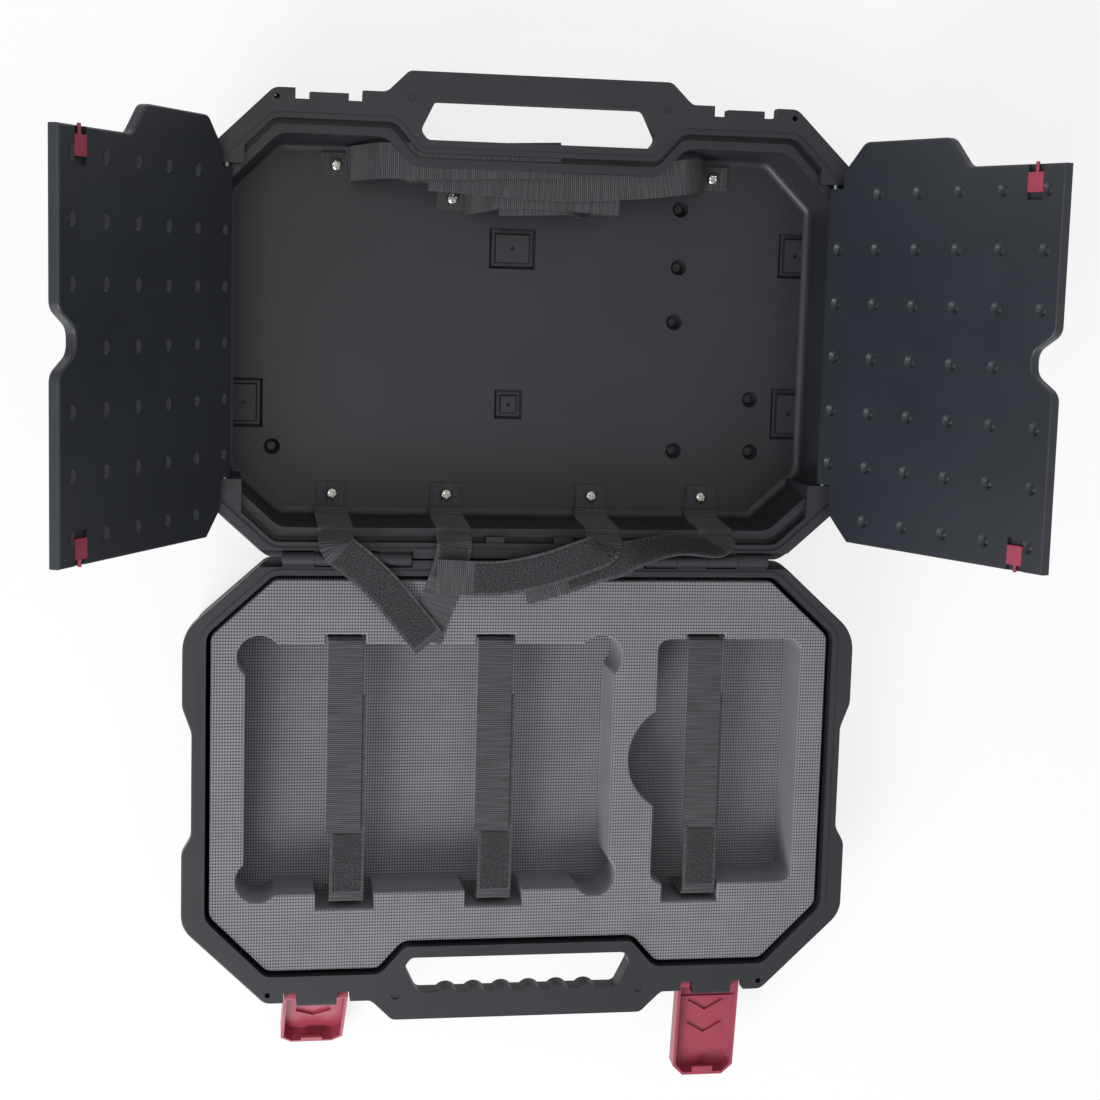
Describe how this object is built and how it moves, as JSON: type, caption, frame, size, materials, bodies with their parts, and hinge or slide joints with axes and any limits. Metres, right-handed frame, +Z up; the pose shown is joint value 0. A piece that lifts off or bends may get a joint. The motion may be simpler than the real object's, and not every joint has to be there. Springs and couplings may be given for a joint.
{
  "type": "transport case",
  "caption": "Open double-walled plastic carrying case with a foam-lined base, a tray lid under two folding flaps, webbing straps and two snap latches.",
  "frame": {"origin": "under the middle of the base shell, on its flat bottom face", "axes": "+Z up out of the open case, +X to the right along the hinge, +Y from the base towards the lid"},
  "size_m": [0.6415, 0.7464, 0.2689],
  "materials": {
    "shell_black": "satin",
    "flap_black": "satin",
    "latch_red": "gloss",
    "foam_grey": "open cell",
    "webbing_black": "woven",
    "pin_steel": "brushed",
    "screw_chrome": "polished"
  },
  "bodies": {
    "base": {"base_shell": "shell_black", "hinge_pin_left": "pin_steel", "hinge_pin_right": "pin_steel", "latch_pin_left": "pin_steel", "latch_pin_right": "pin_steel", "foam_base": "foam_grey", "foam_top": "foam_grey", "foam_strap_a_under": "webbing_black", "foam_strap_a_upper": "webbing_black", "foam_strap_b_under": "webbing_black", "foam_strap_b_upper": "webbing_black", "foam_strap_c_under": "webbing_black", "foam_strap_c_upper": "webbing_black", "foam_strap_patches": "webbing_black"},
    "lid": {"lid_shell": "shell_black", "flap_pin_left_front": "pin_steel", "flap_pin_left_rear": "pin_steel", "flap_pin_right_front": "pin_steel", "flap_pin_right_rear": "pin_steel", "tray_screws": "screw_chrome", "strap_tabs": "webbing_black", "tray_strap_upper_1": "webbing_black", "tray_strap_upper_2": "webbing_black", "tray_strap_upper_3": "webbing_black", "tray_strap_upper_4": "webbing_black", "tray_strap_lower_1": "webbing_black", "tray_strap_lower_2": "webbing_black", "tray_strap_lower_3": "webbing_black", "tray_strap_lower_4": "webbing_black"},
    "flap_left": {"flap_left": "flap_black"},
    "flap_right": {"flap_right": "flap_black"},
    "bolt_left_front": {"bolt_left_front": "latch_red"},
    "bolt_left_rear": {"bolt_left_rear": "latch_red"},
    "bolt_right_front": {"bolt_right_front": "latch_red"},
    "bolt_right_rear": {"bolt_right_rear": "latch_red"},
    "latch_left": {"latch_left": "latch_red"},
    "latch_right": {"latch_right": "latch_red"}
  },
  "joints": [
    {"name": "lid_hinge", "type": "hinge", "parent": "base", "child": "lid", "pos_m": [0, 0.1645, 0.075], "axis": [1, 0, 0], "range_deg": [0, 106], "deforming": ["tray_strap_lower_1", "tray_strap_lower_2", "tray_strap_lower_3", "tray_strap_lower_4"]},
    {"name": "flap_left_hinge", "type": "hinge", "parent": "lid", "child": "flap_left", "pos_m": [-0.219, 0.3295, 0.0705], "axis": [0, 1, 0], "range_deg": [0, 118.4], "deforming": ["tray_strap_upper_1", "tray_strap_upper_2"]},
    {"name": "flap_right_hinge", "type": "hinge", "parent": "lid", "child": "flap_right", "pos_m": [0.219, 0.3295, 0.0705], "axis": [0, -1, 0], "range_deg": [0, 115.4], "deforming": ["tray_strap_upper_3", "tray_strap_upper_4"]},
    {"name": "bolt_left_front_slide", "type": "slide", "parent": "flap_left", "child": "bolt_left_front", "axis": [0, 1, 0], "range_m": [0, 0.005]},
    {"name": "bolt_left_rear_slide", "type": "slide", "parent": "flap_left", "child": "bolt_left_rear", "axis": [0, -1, 0], "range_m": [0, 0.005]},
    {"name": "bolt_right_front_slide", "type": "slide", "parent": "flap_right", "child": "bolt_right_front", "axis": [0, 1, 0], "range_m": [0, 0.005]},
    {"name": "bolt_right_rear_slide", "type": "slide", "parent": "flap_right", "child": "bolt_right_rear", "axis": [0, -1, 0], "range_m": [0, 0.005]},
    {"name": "latch_left_hinge", "type": "hinge", "parent": "base", "child": "latch_left", "pos_m": [-0.149, -0.1615, 0.061], "axis": [-1, 0, 0], "range_deg": [-44.3, 135.7]},
    {"name": "latch_right_hinge", "type": "hinge", "parent": "base", "child": "latch_right", "pos_m": [0.149, -0.1615, 0.061], "axis": [-1, 0, 0], "range_deg": [-82, 98]}
  ]
}
